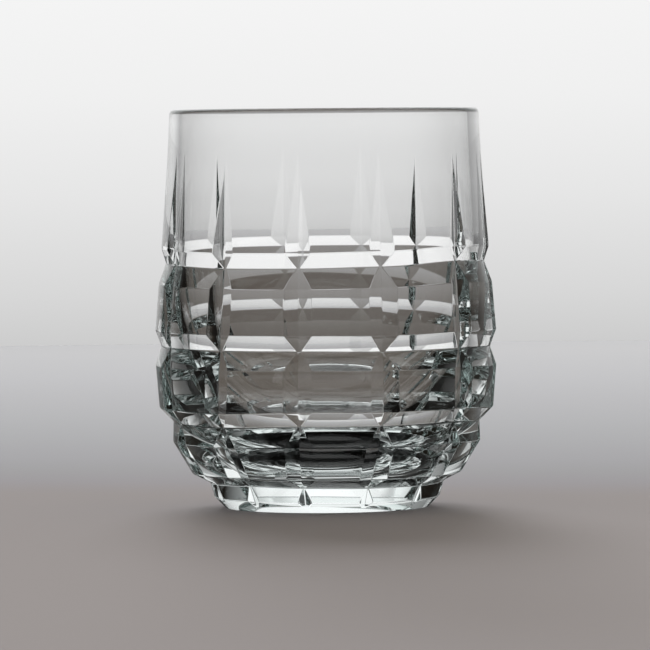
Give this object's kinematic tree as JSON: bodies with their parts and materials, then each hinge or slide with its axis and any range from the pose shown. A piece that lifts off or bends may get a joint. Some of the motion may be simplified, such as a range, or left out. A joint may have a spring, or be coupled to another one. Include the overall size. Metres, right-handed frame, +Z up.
{
  "type": "whiskey tumbler",
  "caption": "Barrel-shaped cut-glass tumbler with a thick base, a plain band at the lip and rows of raised blocks between ring cuts and upright cuts.",
  "frame": {"origin": "middle of the flat base, on the surface that the tumbler stands on", "axes": "+Z up along the tumbler's axis of symmetry; a column of blocks faces -Y"},
  "size_m": [0.0838, 0.0838, 0.098],
  "materials": {
    "cut_glass": "polished clear glass"
  },
  "bodies": {
    "root": {"tumbler": "cut_glass"}
  },
  "joints": []
}
